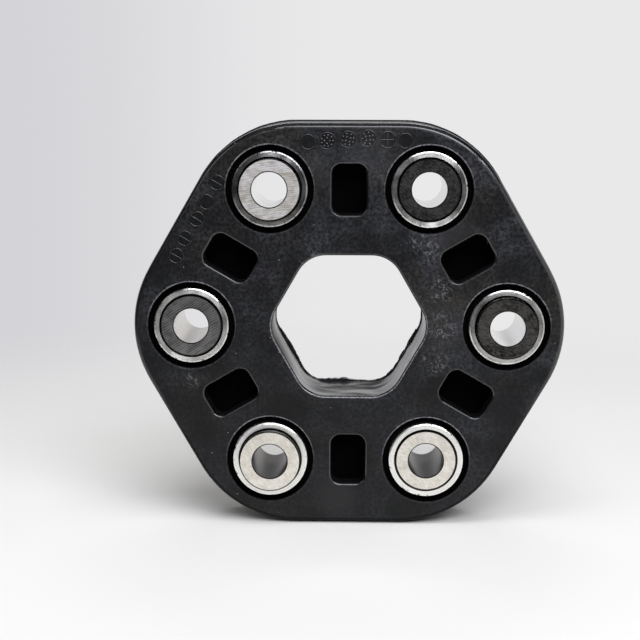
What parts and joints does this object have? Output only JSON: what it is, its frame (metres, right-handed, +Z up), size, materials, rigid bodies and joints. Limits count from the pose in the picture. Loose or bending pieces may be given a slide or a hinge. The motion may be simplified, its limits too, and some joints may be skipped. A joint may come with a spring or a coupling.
{
  "type": "driveshaft flex disc",
  "caption": "Flexible rubber shaft coupling: a six-sided moulded disc with steel bushings on one bolt circle that joins two flanges and takes up small bends.",
  "frame": {"origin": "centre of the bolt circle, halfway through the thickness", "axes": "+Y along the shaft axis towards the back, +Z up across the face to the middle of a flat, +X to the right seen from the front"},
  "size_m": [0.1518, 0.0368, 0.1422],
  "materials": {
    "rubber": "matte moulded",
    "sleeve_steel": "turned and sawn end faces",
    "collar_steel": "bright turned",
    "cord": "wound thread"
  },
  "bodies": {
    "root": {"rubber_body": "rubber", "sleeve_1": "sleeve_steel", "sleeve_2": "sleeve_steel", "sleeve_3": "sleeve_steel", "sleeve_4": "sleeve_steel", "sleeve_5": "sleeve_steel", "sleeve_6": "sleeve_steel", "front_collar_1": "collar_steel", "front_collar_2": "collar_steel", "front_collar_3": "collar_steel", "front_collar_4": "collar_steel", "front_collar_5": "collar_steel", "front_collar_6": "collar_steel", "rear_collar_1": "collar_steel", "rear_collar_2": "collar_steel", "rear_collar_3": "collar_steel", "rear_collar_4": "collar_steel", "rear_collar_5": "collar_steel", "rear_collar_6": "collar_steel", "front_cord_loop_1": "cord", "rear_cord_loop_1": "cord", "front_cord_loop_3": "cord", "rear_cord_loop_3": "cord", "front_cord_loop_5": "cord", "rear_cord_loop_5": "cord", "middle_cord_loop_2": "cord", "middle_cord_loop_4": "cord", "middle_cord_loop_6": "cord"}
  },
  "joints": []
}
